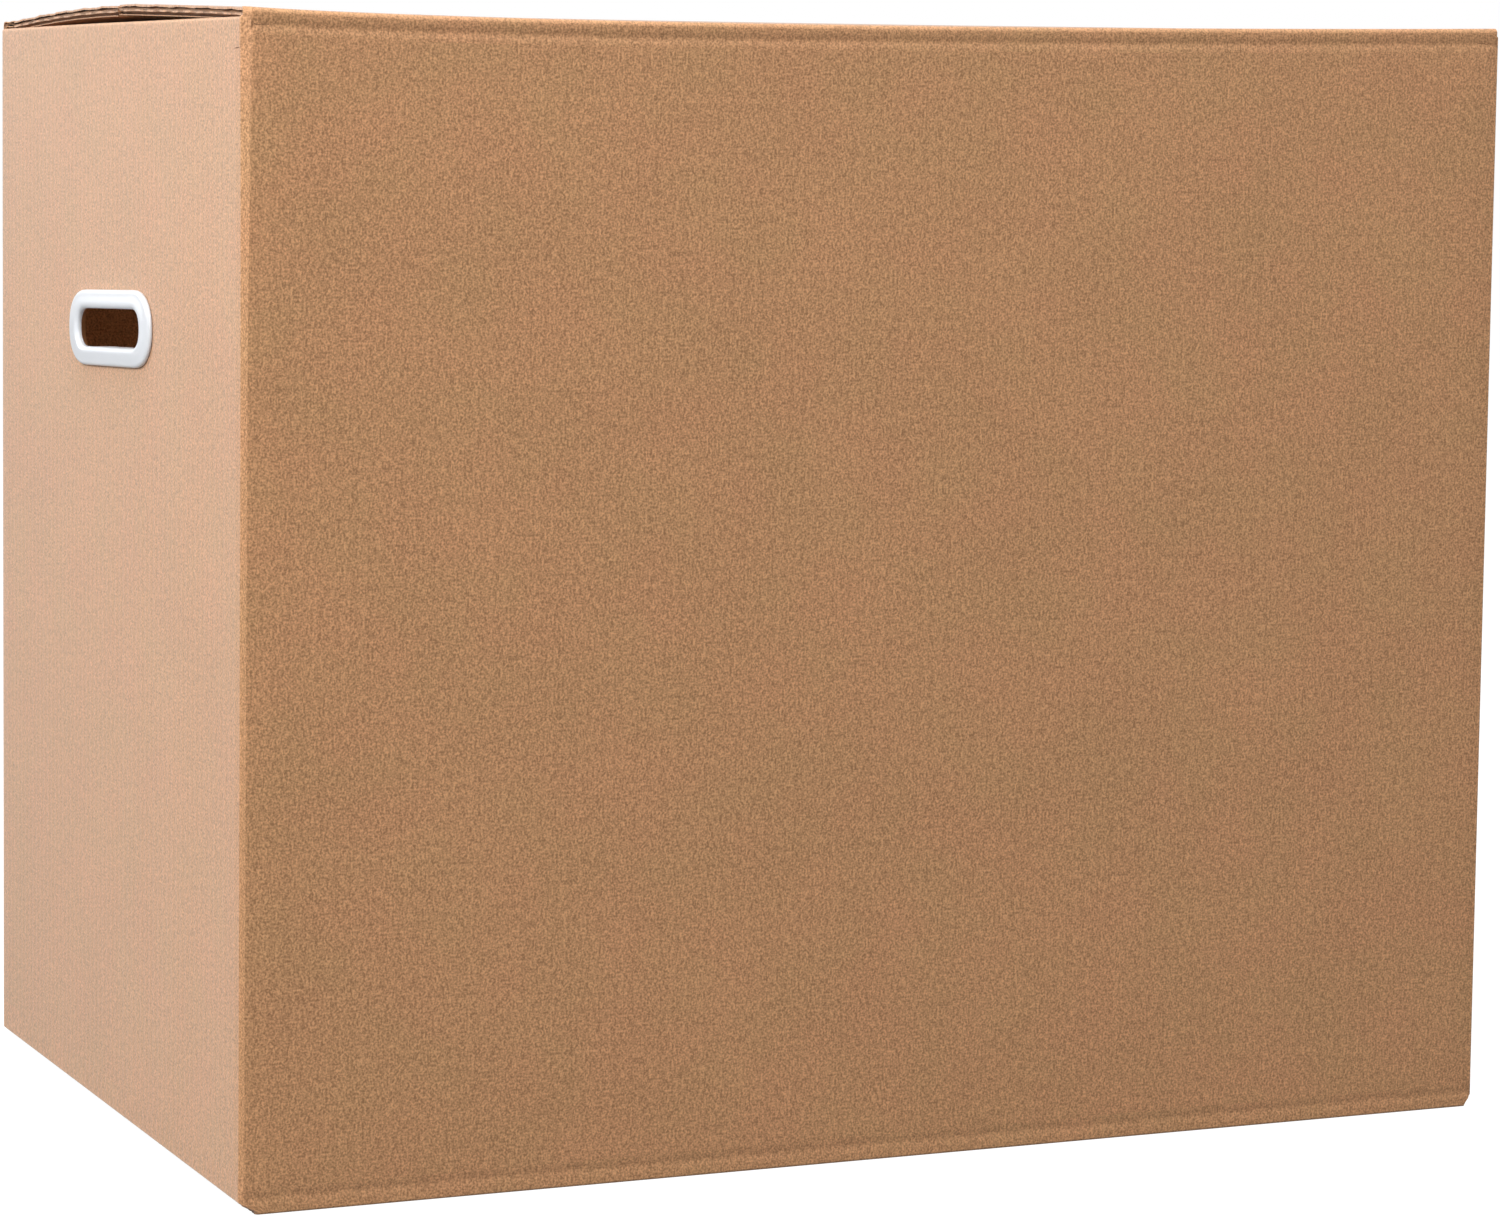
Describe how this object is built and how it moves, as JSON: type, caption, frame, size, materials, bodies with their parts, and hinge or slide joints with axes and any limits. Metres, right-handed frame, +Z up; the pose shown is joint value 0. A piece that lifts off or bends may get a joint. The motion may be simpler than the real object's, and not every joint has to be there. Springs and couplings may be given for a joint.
{
  "type": "moving box",
  "caption": "Upright carton of double-wall corrugated board with hinged top flaps and plastic hand-holds in its end panels.",
  "frame": {"origin": "on the floor under the middle of the box", "axes": "+Z up, +X along the long panels, the front panel faces -Y"},
  "size_m": [0.6052, 0.4, 0.5038],
  "materials": {
    "kraft_board": "matt brown kraft liner",
    "white_plastic": "smooth moulded white"
  },
  "bodies": {
    "carton": {"carton_body": "kraft_board", "handle_left": "white_plastic", "handle_right": "white_plastic"},
    "front_flap": {"top_flap_front": "kraft_board"},
    "back_flap": {"top_flap_back": "kraft_board"}
  },
  "joints": [
    {"name": "front_flap_crease", "type": "hinge", "parent": "carton", "child": "front_flap", "pos_m": [0, -0.2, 0.5], "axis": [1, 0, 0], "range_deg": [-1.1, 267]},
    {"name": "back_flap_crease", "type": "hinge", "parent": "carton", "child": "back_flap", "pos_m": [0, 0.2, 0.5], "axis": [-1, 0, 0], "range_deg": [-1.1, 267]}
  ]
}
